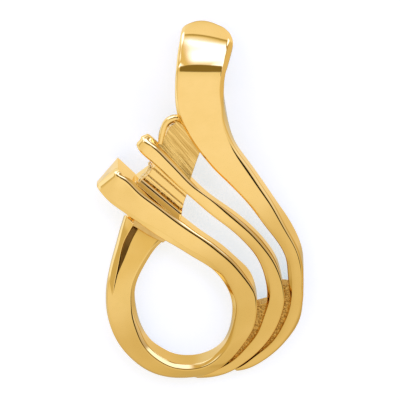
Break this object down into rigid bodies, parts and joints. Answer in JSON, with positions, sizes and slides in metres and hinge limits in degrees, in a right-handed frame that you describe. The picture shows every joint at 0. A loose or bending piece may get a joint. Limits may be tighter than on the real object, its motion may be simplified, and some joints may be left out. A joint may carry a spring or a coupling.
{
  "type": "slide pendant",
  "caption": "One-piece polished gold slide pendant: ribbons sweep round an open loop, the widest folds over into a chain tunnel.",
  "frame": {"origin": "middle of the pendant's outline, in the plane of its flat back, which is the surface it lies on", "axes": "+X to the wearer's left as the front shows it to a viewer (right in the picture), +Y from the loop toward the bail, +Z out of the front"},
  "size_m": [0.0172, 0.0312, 0.0044],
  "materials": {
    "polished_gold": "polished yellow gold"
  },
  "bodies": {
    "root": {"slide_casting": "polished_gold"}
  },
  "joints": []
}
